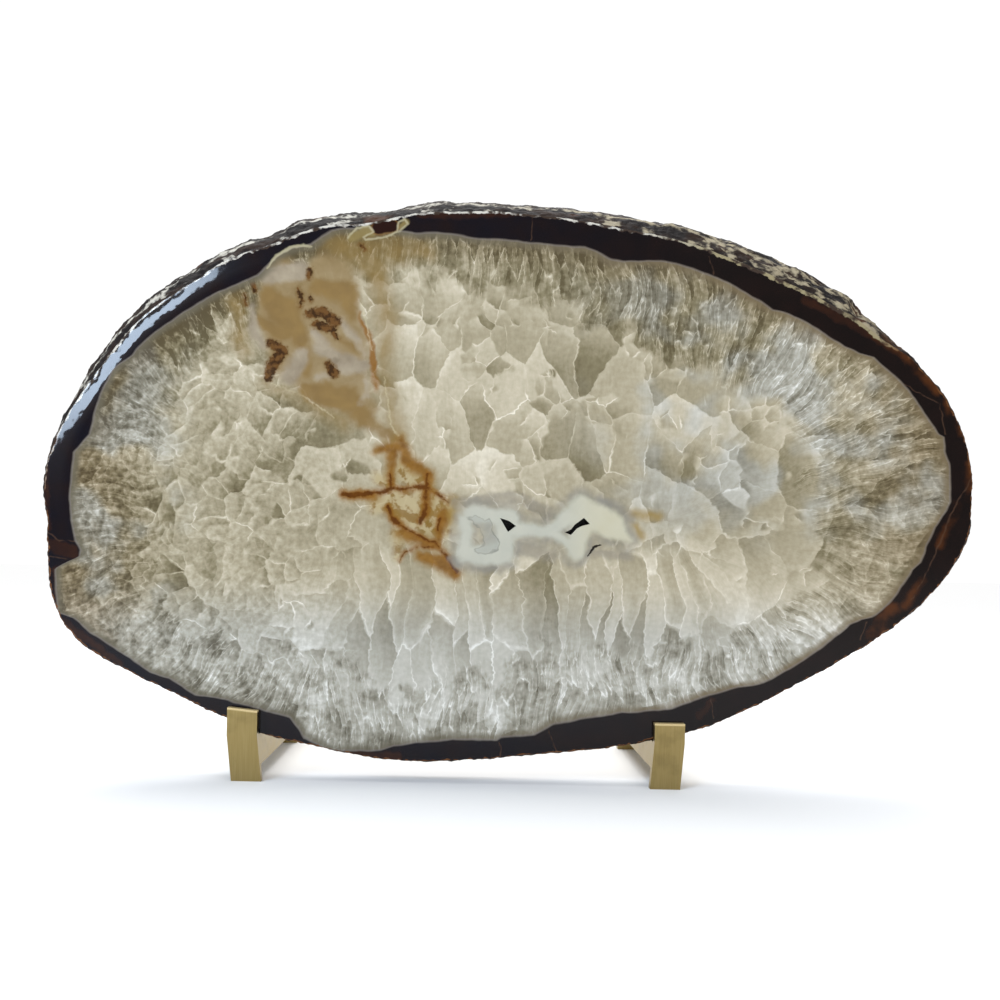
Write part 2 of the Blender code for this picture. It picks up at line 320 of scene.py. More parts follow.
def new_group(name, takes, gives):
    """An empty shared group: its recipe, its entry sockets and its leaving sockets."""
    tree = bpy.data.node_groups.new(name, "ShaderNodeTree")
    for side, sockets in (("INPUT", takes), ("OUTPUT", gives)):
        for label, kind in sockets.items():
            tree.interface.new_socket(label, in_out=side, socket_type="NodeSocket" + kind)
    entry = tree.nodes.new("NodeGroupInput")
    leave = tree.nodes.new("NodeGroupOutput")
    return Recipe(tree), list(entry.outputs)[:len(takes)], leave.inputs


def clouds(name, dimensions="3D"):
    """Noise at a place in millimetres: its value, and a push of up to a half in each direction."""
    takes = {"Place": "Vector", "Size": "Float", "Detail": "Float"}
    recipe, (place, size, detail), leave = new_group(name, takes, {"Cloud": "Float", "Push": "Vector"})
    inputs = {"Vector": place, "Scale": recipe.maths("DIVIDE", 1.0, size), "Detail": detail}
    noise = recipe.add("ShaderNodeTexNoise", "Fac", inputs, noise_dimensions=dimensions).node
    recipe.feed(leave[0], noise.outputs["Fac"])
    recipe.feed(leave[1], recipe.vector("SUBTRACT", noise.outputs["Color"], (0.5, 0.5, 0.5)))
    return recipe.tree


def flat_clouds(name):
    """The same noise for places in one plane, which is quicker."""
    return clouds(name, "2D")


def face_places(name):
    """A place on the cut face in millimetres: across, up, and both in one flat vector."""
    recipe, _, leave = new_group(name, {}, {"Across": "Float", "Up": "Float", "Flat": "Vector"})
    metres = recipe.add("ShaderNodeTexCoord", "Object", {})
    across, _, up = recipe.split(recipe.scaled(metres, 1 / MM))
    recipe.feed(leave[0], across)
    recipe.feed(leave[1], up)
    recipe.feed(leave[2], recipe.joined(across, up, 0.0))
    return recipe.tree


def growth(name):
    """How a crystal at a place grew: from where on the spine, which way out, and how far out."""
    left, right, height = SPINE
    gives = {"Root": "Vector", "Outward": "Vector", "Reach": "Float"}
    recipe, (place,), leave = new_group(name, {"Place": "Vector"}, gives)
    across, _, _ = recipe.split(place)
    nearest = recipe.maths("MINIMUM", recipe.maths("MAXIMUM", across, left), right)
    root = recipe.joined(nearest, height, 0.0)
    away = recipe.vector("SUBTRACT", place, root)
    recipe.feed(leave[0], root)
    recipe.feed(leave[1], recipe.vector("NORMALIZE", away))
    recipe.feed(leave[2], recipe.length(away))
    return recipe.tree


def crystals(name):
    """A layer of crystals that grow inwards from the rim: its tone, and its pale outlines.

    Each crystal is pale where it starts and has a painted olive shade at its inner end, where a
    bright broken line parts it from the next. Painted shade also darkens one side of each crystal,
    and a painted pale glow lies just past the line. Stretch is how much longer than wide the
    crystals are, less one, and Sides is how bright that line is along a crystal's sides. Gap keeps
    long crystals narrow beyond the spine's ends.
    """
    numbers = ("Size", "Stretch", "Line", "Sides", "Gap")
    takes = {"Place": "Vector", **{label: "Float" for label in numbers}}
    recipe, (place, size, stretch, line_width, sides, gap), leave = new_group(
        name, takes, {"Tone": "Float", "Outline": "Float"}
    )
    root, outward, reach = recipe.group(growth, (place,))
    pressed = recipe.maths("DIVIDE", reach, recipe.plus(stretch, 1.0))
    place = recipe.vector("ADD", root, recipe.scaled(outward, recipe.plus(pressed, gap)))
    per_size = recipe.maths("DIVIDE", 1.0, size)
    inputs = {"Vector": place, "Scale": per_size}
    cell = recipe.add("ShaderNodeTexVoronoi", "Position", inputs, voronoi_dimensions="2D").node
    borders = recipe.add(
        "ShaderNodeTexVoronoi", "Distance", inputs, voronoi_dimensions="2D", feature="DISTANCE_TO_EDGE"
    )
    offset = recipe.scaled(recipe.vector("SUBTRACT", place, cell.outputs["Position"]), per_size)
    along = recipe.dot(offset, outward)
    _, _, aside = recipe.split(recipe.vector("CROSS_PRODUCT", outward, offset))
    chances = recipe.tree.nodes.new("ShaderNodeSeparateColor")
    recipe.feed(chances.inputs[0], cell.outputs["Color"])
    edge = recipe.times(borders, size)
    line = recipe.ease(recipe.maths("DIVIDE", edge, line_width), 1.0, 0.15)
    line = recipe.times(line, recipe.maths("MAXIMUM", recipe.ease(along, 0.4, -0.3), sides))
    # Painted shade: each crystal is darker on one side than the other, like a facet lit from one side
    facet_shade = recipe.times(recipe.ease(aside, -0.3, 0.4), chances.outputs[1], -0.16)
    # Painted shade: a darker olive towards each crystal's inner end, as if under the next crystal's edge
    inner_shade = recipe.times(recipe.ease(along, 0.35, -0.45), chances.outputs[1])
    # Painted glow: a pale fade just past the line, standing in for light through the quartz
    glow = recipe.times(recipe.ease(borders, 0.25, 0.0), recipe.ease(along, 0.0, 0.3))
    tone = recipe.maths("MULTIPLY_ADD", chances.outputs[0], 0.26, recipe.plus(facet_shade, -0.02))
    tone = recipe.maths("MULTIPLY_ADD", inner_shade, -0.34, tone)
    recipe.feed(leave[0], recipe.maths("MULTIPLY_ADD", glow, 0.12, tone))
    recipe.feed(leave[1], line)
    return recipe.tree


def srgb(red, green, blue):
    """A screen colour, 0 to 255, as Blender's linear colour."""
    parts = [part / 255 for part in (red, green, blue)]
    return tuple(part / 12.92 if part <= 0.04045 else ((part + 0.055) / 1.055) ** 2.4 for part in parts)


# The quartz, from its darkest tone to its palest: where it is clear; where it is frosty, which at the upper right is
# partly a painted sheen; and where it is stained
CLEAR_STOPS = (
    (0.0, srgb(92, 82, 58)),
    (0.25, srgb(128, 118, 91)),
    (0.5, srgb(165, 154, 128)),
    (0.75, srgb(195, 184, 160)),
    (1.0, srgb(228, 219, 200)),
)
FROST_AND_SHEEN_STOPS = (
    (0.0, srgb(96, 91, 78)),
    (0.25, srgb(132, 128, 115)),
    (0.5, srgb(165, 162, 150)),
    (0.75, srgb(194, 192, 183)),
    (1.0, srgb(228, 227, 221)),
)
STAIN_STOPS = (
    (0.0, srgb(62, 46, 28)),
    (0.25, srgb(104, 86, 58)),
    (0.5, srgb(144, 126, 97)),
    (0.75, srgb(182, 166, 136)),
    (1.0, srgb(222, 210, 184)),
)


def zones(recipe, at, patches):
    """Which parts of the quartz are frosty, partly a painted sheen at the upper right, or stained, and which lie in
    the fibrous outer zone.
    """
    across, up, band = at["across"], at["up"], at["band"]
    low = recipe.ease(up, 84, 56)
    right_top = recipe.times(recipe.ease(across, 10, 75), recipe.ease(up, 88, 120))
    left = recipe.ease(across, -118, -150)
    depth = recipe.maths("MULTIPLY_ADD", low, 7.0, 20.0)
    depth = recipe.maths("MULTIPLY_ADD", right_top, 24.0, depth)
    depth = recipe.maths("MULTIPLY_ADD", left, 14.0, depth)
    depth = recipe.maths("MULTIPLY_ADD", recipe.ease(across, 104, 150), 24.0, depth)
    ragged = recipe.maths("MULTIPLY_ADD", recipe.minus(patches, 0.5), recipe.between(low, 26.0, 50.0), band)
    outer = recipe.ease(recipe.minus(ragged, depth), 8.0, -8.0)
    drifts = recipe.ease(recipe.clouds(at["flat"], 26, 2.0), 0.42, 0.62)
    # Pale cool frost below and at the left; at the upper right these cloud-shaped patches are partly frost and partly
    # a painted sheen
    frost_and_sheen = recipe.maths("MAXIMUM", low, recipe.times(right_top, drifts))
    frost_and_sheen = recipe.maths("MAXIMUM", frost_and_sheen, recipe.times(left, drifts))
    ends = recipe.plus(recipe.ease(across, -128, -172), recipe.ease(across, 118, 172))
    ends = recipe.times(ends, recipe.between(drifts, 1.0, 0.25))
    edge = recipe.times(recipe.ease(band, 16, 2), recipe.ease(up, 60, 150), 0.6)
    stain = recipe.maths("MAXIMUM", ends, edge)
    return outer, frost_and_sheen, stain, low


def quartz(recipe, at):
    """The quartz: cells with pale jagged edges in the middle, blades below, needles at the rim."""
    flat, across = at["flat"], at["across"]
    bent = recipe.stray(flat, 30, 12)
    rough = recipe.stray(bent, 2.2, 1.5, 3.0)
    jagged = recipe.stray(recipe.stray(bent, 7.0, 3.7, 2.0), 1.5, 0.9, 2.0)
    patches = recipe.clouds(flat, 10)
    outer, frost_and_sheen, stain, low = zones(recipe, at, patches)
    left = recipe.ease(across, -40, -100)
    below = recipe.times(recipe.ease(at["up"], 98, 90), recipe.ease(across, -78, -52))
    below = recipe.times(below, recipe.ease(across, 100, 70))
    broken = recipe.ease(patches, 0.34, 0.6)
    line_width = recipe.between(broken, 0.2, 0.6)
    drift = recipe.clouds(flat, 20, 2.0)
    big_tone, big_line = recipe.group(crystals, (jagged, 14.0, 0.5, line_width, 0.0, 0.0))
    small_tone, small_line = recipe.group(crystals, (jagged, 7.0, 0.2, line_width, 0.0, 0.0))
    smaller = recipe.ease(recipe.maths("MULTIPLY_ADD", left, 0.08, drift), 0.54, 0.6)
    tone = recipe.between(smaller, big_tone, small_tone)
    line = recipe.times(recipe.between(smaller, big_line, small_line), recipe.between(broken, 0.3, 1.0))
    tiny_tone, tiny_line = recipe.group(crystals, (jagged, 3.4, 0.2, 0.35, 0.2, 0.0))
    end = recipe.ease(across, -118, -150)
    tiny = recipe.ease(recipe.maths("MULTIPLY_ADD", drift, -1.0, left), 0.46, 0.6)
    tiny = recipe.times(tiny, recipe.between(end, 0.35, 1.0))
    tone = recipe.between(tiny, tone, tiny_tone)
    line = recipe.between(tiny, line, recipe.times(tiny_line, recipe.between(end, 0.5, 0.9)))
    wavering = recipe.stray(rough, 6.0, 3.0, 2.0)
    blade_tone, blade_line = recipe.group(crystals, (wavering, 7.5, 3.8, 0.35, 0.55, 30.0))
    tone = recipe.between(below, tone, blade_tone)
    tone = recipe.times(tone, 0.8)
    line = recipe.between(below, line, recipe.times(blade_line, recipe.between(broken, 0.3, 0.9)))
    needle_tone, needle_line = recipe.group(crystals, (rough, 2.3, 5.0, 0.2, 1.0, 70.0))
    grainy = recipe.times(recipe.ease(across, 105, 140), recipe.ease(at["up"], 150, 118))
    needled = recipe.times(outer, recipe.between(end, 1.0, 0.4), recipe.between(grainy, 1.0, 0.45))
    tone = recipe.between(needled, tone, recipe.times(needle_tone, 0.6))
    streaks = recipe.ease(recipe.clouds(flat, 5.5, 3.0), 0.4, 0.62)
    line = recipe.between(needled, line, recipe.times(needle_line, streaks))
    grain = recipe.clouds(flat, 2.2, 5.0)
    speckled = recipe.maths("MULTIPLY_ADD", outer, 0.3, recipe.between(left, 0.24, 0.52))
    tone = recipe.maths("MULTIPLY_ADD", recipe.minus(grain, 0.5), speckled, tone)
    clumps = recipe.times(recipe.minus(patches, 0.5), recipe.between(low, 0.25, 0.9))
    tone = recipe.plus(tone, recipe.times(clumps, outer))
    tone = recipe.maths("MULTIPLY_ADD", line, recipe.between(outer, 0.34, 0.3), tone)
    tone = recipe.maths("MULTIPLY_ADD", recipe.clouds(flat, 50, 3.0), 0.4, recipe.plus(tone, 0.33))
    root, outward, reach = recipe.group(growth, (bent,))
    spread_x, spread_y, _ = recipe.split(recipe.vector("ADD", root, recipe.scaled(outward, 95.0)))
    strands = recipe.joined(spread_x, spread_y, recipe.times(reach, 0.1))
    fine = recipe.group(clouds, (strands, 0.9, 4.0))[0]
    broad = recipe.group(clouds, (strands, 4.2, 2.0))[0]
    glints = recipe.times(recipe.ease(fine, 0.6, 0.74), recipe.ease(grain, 0.4, 0.62), outer)
    tone = recipe.maths("MULTIPLY_ADD", glints, 0.26, tone)
    tone = recipe.maths("MULTIPLY_ADD", recipe.minus(fine, 0.5), recipe.between(outer, 0.12, 0.42), tone)
    tone = recipe.maths("MULTIPLY_ADD", recipe.minus(broad, 0.5), recipe.between(outer, 0.1, 0.6), tone)
    tone = recipe.maths("MULTIPLY_ADD", outer, recipe.between(low, -0.2, -0.02), tone)
    tone = recipe.maths("MULTIPLY_ADD", recipe.times(outer, recipe.ease(across, 96, 132)), 0.07, tone)
    high = recipe.times(outer, recipe.ease(at["up"], 158, 178), recipe.ease(across, 90, 50))
    tone = recipe.maths("MULTIPLY_ADD", high, -0.12, tone)
    tone = recipe.maths("MULTIPLY_ADD", left, -0.08, tone)
    tone = recipe.maths("MULTIPLY_ADD", recipe.ease(at["band"], 12, 1), -0.12, tone)
    clear, frost_and_sheen_colour = recipe.ramp(tone, CLEAR_STOPS), recipe.ramp(tone, FROST_AND_SHEEN_STOPS)
    colour = recipe.mixed(recipe.times(frost_and_sheen, 0.85), clear, frost_and_sheen_colour)
    return recipe.mixed(recipe.times(stain, 0.6), colour, recipe.ramp(tone, STAIN_STOPS))


def face_place(x, y):
    """The place on the cut face, in millimetres, of a point of the photograph."""
    across = x - PHOTO_AXIS[0]
    up = PHOTO_AXIS[1] - y
    turned_across = across * math.cos(PHOTO_ROLL) - up * math.sin(PHOTO_ROLL)
    turned_up = across * math.sin(PHOTO_ROLL) + up * math.cos(PHOTO_ROLL)
    return (turned_across + PHOTO_SHIFT[0]) * PIXEL, (turned_up + PHOTO_SHIFT[1]) * PIXEL


def marks(name):
    """How far a place is from the nearest of some tapered strokes, negative inside, in millimetres.

    The strokes' sides melt into each other over the distance Melt.
    """
    takes = {"Place": "Vector", "Melt": "Float"}
    recipe, (spot, melt), leave = new_group(name, takes, {"Distance": "Float"})
    nearest = None
    for start_x, start_y, start_radius, end_x, end_y, end_radius in MARKS[name]:
        start = Vector((*face_place(start_x, start_y), 0))
        run = Vector((*face_place(end_x, end_y), 0)) - start
        offset = recipe.vector("SUBTRACT", spot, start)
        along = recipe.limited(recipe.dot(offset, run / run.length_squared))
        gap = recipe.length(recipe.vector("SUBTRACT", offset, recipe.scaled(run, along)))
        gap = recipe.maths("MULTIPLY_ADD", along, (start_radius - end_radius) * PIXEL, gap)
        gap = recipe.minus(gap, start_radius * PIXEL)
        nearest = gap if nearest is None else recipe.maths("SMOOTH_MIN", nearest, gap, melt)
    recipe.feed(leave[0], nearest)
    return recipe.tree


def stroke_distance(recipe, spot, name, melt=0.0):
    """The distance to one table of strokes."""
    return recipe.group(marks, (spot, melt), name)[0]


def painted(recipe, colour, distance, soft, paint, strength=1.0):
    """Lays a colour over another where a distance is negative, with a soft edge of some width."""
    share = recipe.ease(distance, soft / 2, -soft / 2)
    return recipe.mixed(recipe.times(share, strength), colour, paint)


def agate_patch(recipe, at, colour):
    """The patch of lavender and amber agate with rust spots, at the upper left."""
    flat = at["flat"]
    spot = recipe.stray(recipe.stray(flat, 12, 5), 2.5, 1.5, 2.0)
    haze = recipe.clouds(spot, 9, 3.0)
    wash = stroke_distance(recipe, spot, "brown_wash", 4.0)
    colour = painted(recipe, colour, wash, 9.0, srgb(136, 110, 62), recipe.between(haze, 0.3, 0.95))
    ground = recipe.mixed(haze, srgb(122, 98, 60), srgb(158, 138, 102))
    colour = painted(recipe, colour, stroke_distance(recipe, spot, "patch_ground", 6.0), 5.0, ground, 0.92)
    amber = recipe.mixed(haze, srgb(146, 118, 70), srgb(110, 84, 46))
    colour = painted(recipe, colour, stroke_distance(recipe, spot, "amber_patch", 3.0), 3.6, amber, 0.85)
    milk = recipe.mixed(haze, srgb(112, 98, 80), srgb(184, 170, 146))
    colour = painted(recipe, colour, stroke_distance(recipe, spot, "lavender", 2.0), 3.0, milk, 0.92)
    streak = stroke_distance(recipe, spot, "streak", 1.0)
    colour = painted(recipe, colour, streak, 1.8, srgb(130, 84, 24), 0.85)
    edges = stroke_distance(recipe, recipe.stray(flat, 2.5, 1.6, 2.0), "pale_edges")
    colour = painted(recipe, colour, edges, 0.8, srgb(206, 194, 158), recipe.times(haze, 0.8))
    ragged = recipe.stray(flat, 1.5, 2.0, 2.0)
    spots = stroke_distance(recipe, ragged, "spots")
    speck = recipe.ease(recipe.clouds(flat, 2.6, 4.0), 0.38, 0.62)
    rust = recipe.mixed(speck, srgb(48, 26, 8), srgb(100, 66, 32))
    colour = painted(recipe, colour, recipe.minus(spots, 0.5), 1.8, srgb(108, 76, 34), 0.7)
    return painted(recipe, colour, spots, 0.8, rust, 0.9)


def rust_wheel(recipe, at, colour):
    """The rust veins and amber stains left of the core."""
    flat = at["flat"]
    spot = recipe.stray(recipe.stray(flat, 8, 2.5), 1.8, 1.2, 2.0)
    haze = recipe.clouds(spot, 4, 2.0)
    pale = recipe.ease(recipe.clouds(flat, 5, 3.0), 0.42, 0.56)
    ground = recipe.mixed(pale, srgb(128, 96, 38), srgb(176, 158, 118))
    colour = painted(recipe, colour, stroke_distance(recipe, spot, "wheel_ground", 3.0), 5.0, ground, 0.85)
    amber = recipe.mixed(haze, srgb(92, 52, 4), srgb(150, 106, 42))
    stains = stroke_distance(recipe, spot, "amber", 1.5)
    colour = painted(recipe, colour, recipe.minus(stains, 1.2), 4.0, srgb(140, 106, 44), 0.65)
    colour = painted(recipe, colour, stains, 2.6, amber, 0.88)
    veins = stroke_distance(recipe, spot, "veins")
    veins = recipe.maths("MULTIPLY_ADD", recipe.clouds(flat, 4.0, 3.0), 1.0, recipe.minus(veins, 0.5))
    colour = painted(recipe, colour, recipe.minus(veins, 0.7), 2.0, srgb(128, 82, 26), 0.75)
    rust = recipe.mixed(haze, srgb(60, 24, 2), srgb(104, 58, 10))
    return painted(recipe, colour, veins, 0.8, rust, 0.9)


def milky_core(recipe, at, colour):
    """The milky core with its smoky grey halo and its swirl."""
    flat = at["flat"]
    spot = recipe.stray(recipe.stray(flat, 8, 3.0), 2.0, 0.8)
    haze = recipe.clouds(spot, 7, 3.0)
    core = stroke_distance(recipe, spot, "core", 3.0)
    gold = stroke_distance(recipe, spot, "golden_wash")
    colour = painted(recipe, colour, gold, 4.0, srgb(150, 124, 66), 0.8)
    smoke = stroke_distance(recipe, recipe.stray(flat, 3.5, 3.0, 2.0), "smoke", 2.0)
    grey = recipe.mixed(haze, srgb(104, 97, 86), srgb(148, 141, 128))
    colour = painted(recipe, colour, smoke, 3.0, grey, recipe.between(haze, 0.2, 0.9))
    colour = painted(recipe, colour, recipe.minus(core, 2.4), 4.0, srgb(134, 131, 122), recipe.between(haze, 0.0, 1.0))
    right = recipe.ease(at["across"], 18, 40)
    milk = recipe.mixed(right, srgb(178, 177, 163), srgb(190, 183, 156))
    milk = recipe.mixed(recipe.times(haze, 0.5), milk, srgb(202, 198, 180))
    colour = painted(recipe, colour, recipe.plus(core, 0.8), 3.2, milk)
    swirl = stroke_distance(recipe, recipe.stray(spot, 3, 2.0), "swirl", 1.5)
    ring = recipe.maths("ABSOLUTE", recipe.minus(swirl, 0.2))
    colour = painted(recipe, colour, swirl, 1.6, srgb(156, 156, 146), recipe.between(haze, 0.2, 0.9))
    colour = painted(recipe, colour, recipe.minus(ring, 0.25), 0.7, srgb(108, 110, 102), haze)
    slit = stroke_distance(recipe, recipe.stray(flat, 1.2, 0.8), "slit")
    return painted(recipe, colour, slit, 0.4, srgb(36, 30, 26))


def dark_band(recipe, at, colour):
    """The dark chalcedony band round the rim, with a pale halo on its inner side."""
    flat = at["flat"]
    haze = recipe.clouds(flat, 12, 3.0)
    wavy = recipe.maths("MULTIPLY_ADD", recipe.clouds(flat, 7, 1.0), 1.0, recipe.minus(at["band"], 0.5))
    right = recipe.ease(at["across"], -60, 110)
    clear = recipe.mixed(right, srgb(100, 93, 76), srgb(112, 97, 72))
    clearness = recipe.times(recipe.ease(wavy, 4.6, 1.2), recipe.between(haze, 0.45, 1.1))
    colour = recipe.mixed(clearness, colour, clear)
    colour = recipe.mixed(recipe.times(recipe.ease(wavy, 1.1, 0.7), 0.45), colour, srgb(118, 110, 108))
    black = recipe.mixed(right, srgb(8, 9, 20), srgb(12, 5, 4))
    black = recipe.mixed(recipe.times(haze, haze, 1.2), black, srgb(26, 12, 9))
    brown = stroke_distance(recipe, recipe.stray(flat, 5, 3.0, 3.0), "brown_rim", 1.0)
    black = painted(recipe, black, brown, 1.8, srgb(52, 26, 13), recipe.between(haze, 0.2, 1.0))
    spot = recipe.stray(flat, 7, 3.5, 3.0)
    amber = stroke_distance(recipe, spot, "amber_rim", 1.5)
    glow = recipe.mixed(recipe.ease(haze, 0.3, 0.66), srgb(22, 8, 4), srgb(74, 38, 12))
    black = painted(recipe, black, amber, 3.0, glow)
    cracks = stroke_distance(recipe, recipe.stray(flat, 4, 1.5), "pale_cracks")
    black = painted(recipe, black, cracks, 0.5, srgb(78, 56, 42), 0.6)
    return recipe.mixed(recipe.ease(wavy, 0.7, -0.3), colour, black)


def top_marks(recipe, at, colour):
    """The pale crescent and the hook in the clear quartz at the top."""
    spot = recipe.stray(at["flat"], 3, 0.8)
    body = stroke_distance(recipe, spot, "hook_body", 1.0)
    colour = painted(recipe, colour, body, 1.6, srgb(136, 118, 72), 0.8)
    pocket = stroke_distance(recipe, spot, "hook_pocket", 1.0)
    colour = painted(recipe, colour, recipe.minus(pocket, 0.6), 0.8, srgb(120, 82, 36), 0.6)
    colour = painted(recipe, colour, pocket, 0.8, srgb(34, 12, 7))
    lines = stroke_distance(recipe, spot, "top_lines")
    return painted(recipe, colour, lines, 0.9, srgb(182, 172, 138), 0.75)


def crust_line(recipe, at, colour):
    """The thin pale crust along the edge of the face."""
    flat = at["flat"]
    ragged = recipe.clouds(flat, 3.0, 5.0)
    top = recipe.times(recipe.ease(at["up"], 105, 150), recipe.ease(at["across"], 158, 146))
    width = recipe.maths("MULTIPLY_ADD", ragged, 2.4, recipe.between(top, -1.1, -0.5))
    right = recipe.times(recipe.ease(at["across"], 60, 100), top)
    width = recipe.maths("MULTIPLY_ADD", right, 0.7, width)
    crust = recipe.ease(recipe.minus(at["rim"], width), 0.3, -0.1)
    broken = recipe.ease(recipe.clouds(flat, 5.0, 5.0), 0.4, 0.58)
    chalk = recipe.mixed(recipe.ease(at["across"], 40, 85), srgb(204, 198, 186), srgb(150, 138, 106))
    pale = recipe.mixed(broken, srgb(60, 48, 40), chalk)
    brown = recipe.mixed(top, srgb(104, 66, 36), pale)
    return recipe.mixed(crust, colour, brown)


def new_material(name, finish):
    """A material with its Principled shader set, and the recipe of its nodes."""
    material = bpy.data.materials.new(name)
    material.use_nodes = True
    recipe = Recipe(material.node_tree)
    shader = recipe.tree.nodes["Principled BSDF"]
    for place, value in finish.items():
        recipe.feed(shader.inputs[place], value)
    return material, recipe, shader


# Where on the face each paint is needed: left, top, right and bottom, in pixels of the photograph.
# Outside its box a paint changes nothing, so that a face takes only the paints that it needs
PAINTS = (
    (agate_patch, (220, 222, 465, 455)),
    (rust_wheel, (328, 425, 478, 592)),
    (milky_core, (432, 478, 676, 592)),
    (dark_band, None),
    (top_marks, (252, 205, 425, 285)),
    (crust_line, None),
)


# How glossy the flat faces and the edge that is polished round are
FLAT_GLOSS = 0.17
EDGE_GLOSS = 0.62


def stone_material(paints):
    """Polished agate: everything that is only colour on one part of the cut faces."""
    finish = {"IOR": 1.54, "Specular IOR Level": FLAT_GLOSS}
    name = "_".join(["polished_agate"] + [paint.__name__ for paint in paints])
    material, recipe, shader = new_material(name, finish)
    across, up, flat = recipe.group(face_places, ())
    at = {"across": across, "up": up, "flat": flat}
    at["rim"] = recipe.attribute("rim")
    at["band"] = recipe.attribute("band")
    colour = quartz(recipe, at)
    for paint in paints:
        colour = paint(recipe, at, colour)
    recipe.feed(shader.inputs["Base Color"], colour)
    polish = recipe.attribute("polish")
    recipe.feed(shader.inputs["Roughness"], recipe.maths("MULTIPLY_ADD", polish, -0.05, 0.12))
    recipe.feed(shader.inputs["Specular IOR Level"], recipe.between(polish, FLAT_GLOSS, EDGE_GLOSS))
    bumped(recipe, shader, recipe.times(polish, recipe.clouds(flat, 9.0, 2.0)), 0.4 * MM)
    return material


def bumped(recipe, shader, height, depth):
    """Gives a shader relief from a height between 0 and 1 that stands for a depth in metres."""
    inputs = {"Height": height, "Distance": depth, "Strength": 1.0}
    recipe.feed(shader.inputs["Normal"], recipe.add("ShaderNodeBump", "Normal", inputs))


def skin_places(name):
    """A place in the stone in millimetres: its height, its depth behind the face, and all of it."""
    recipe, _, leave = new_group(name, {}, {"Across": "Float", "Up": "Float", "Depth": "Float", "Place": "Vector"})
    metres = recipe.add("ShaderNodeTexCoord", "Object", {})
    place = recipe.scaled(metres, 1 / MM)
    across, depth, up = recipe.split(place)
    recipe.feed(leave[0], across)
    recipe.feed(leave[1], up)
    recipe.feed(leave[2], recipe.minus(depth, FACE_Y / MM))
    recipe.feed(leave[3], place)
    return recipe.tree


def skin_material():
    """The natural skin: nearly black stone with ledges of pale crust, rust stains and small pits."""
    material, recipe, shader = new_material("agate_skin", {"Roughness": 0.62, "Specular IOR Level": 0.15})
    across, up, depth, place = recipe.group(skin_places, ())
    ledges = recipe.joined(across, recipe.times(depth, 2.6), up)
    lumps = recipe.group(clouds, (ledges, 15.0, 3.0))[0]
    flakes = recipe.group(clouds, (ledges, 9.0, 6.0))[0]
    pits = recipe.group(clouds, (place, 3.4, 4.0))[0]
    end = recipe.ease(across, 142, 158)
    top = recipe.times(recipe.ease(up, 105, 165), recipe.minus(1.0, end))
    right = recipe.times(top, recipe.ease(across, 45, 85))
    dark = recipe.mixed(pits, srgb(8, 6, 7), srgb(32, 25, 23))
    brown = recipe.mixed(pits, srgb(24, 14, 9), srgb(72, 47, 29))
    stained = recipe.times(recipe.ease(lumps, 0.44, 0.6), recipe.between(top, 0.95, 0.5))
    colour = recipe.mixed(stained, dark, brown)
    rust = recipe.times(recipe.ease(recipe.group(clouds, (ledges, 22.0, 2.0))[0], 0.6, 0.68), 0.5)
    colour = recipe.mixed(rust, colour, srgb(88, 50, 28))
    amber = recipe.mixed(recipe.ease(lumps, 0.4, 0.66), srgb(30, 14, 7), srgb(88, 54, 22))
    colour = recipe.mixed(recipe.times(end, 0.8), colour, amber)
    seam = recipe.maths("MULTIPLY_ADD", flakes, 7.0, recipe.minus(depth, 9.3))
    seam = recipe.times(recipe.ease(recipe.maths("ABSOLUTE", seam), 1.8, 0.8), top, recipe.ease(lumps, 0.4, 0.5))
    sparse = recipe.maths("MULTIPLY_ADD", right, 0.1, recipe.minus(flakes, 0.6))
    cover = recipe.times(recipe.ease(sparse, 0.0, 0.05), recipe.between(top, 0.12, 0.9))
    cover = recipe.maths("MAXIMUM", cover, recipe.times(seam, recipe.ease(pits, 0.36, 0.46)))
    chalk = recipe.mixed(recipe.ease(across, -60, 60), srgb(196, 190, 176), srgb(168, 156, 130))
    crust = recipe.mixed(recipe.ease(pits, 0.36, 0.6), srgb(44, 36, 30), chalk)
    colour = recipe.mixed(cover, colour, crust)
    recipe.feed(shader.inputs["Base Color"], colour)
    bumped(recipe, shader, recipe.plus(recipe.times(flakes, 0.6), recipe.times(pits, 0.4)), 1.6 * MM)
    return material


def cavity_material():
    """The cavities' walls: a dark lining with painted shade, pale at the mouth and nearly black further in, and
    painted glints of tiny crystals.
    """
    material, recipe, shader = new_material("cavity_wall", {"Roughness": 0.35})
    across, up, depth, place = recipe.group(skin_places, ())
    grains = recipe.group(clouds, (place, 0.6, 2.0))[0]
    # Painted shade: the walls are pale at the mouth and turn nearly black further into the cavity, over a lining that
    # is partly dark stone
    shaded_walls = recipe.mixed(recipe.ease(depth, 1.2, 0.2), srgb(14, 10, 9), srgb(120, 116, 104))
    # Painted glints: brownish specks of tiny crystals over the dark walls
    recipe.feed(shader.inputs["Base Color"], recipe.mixed(recipe.ease(grains, 0.45, 0.7), shaded_walls, srgb(70, 60, 50)))
    bumped(recipe, shader, grains, 0.3 * MM)
    return material


# The front lips' upper ends: how high the left one's is at a place from side to side and how much it
# falls for each millimetre to the right, and how high the right one's is. All are in millimetres
LEFT_LIP = (28.6, -103.6, 0.1)
RIGHT_LIP = 26.1


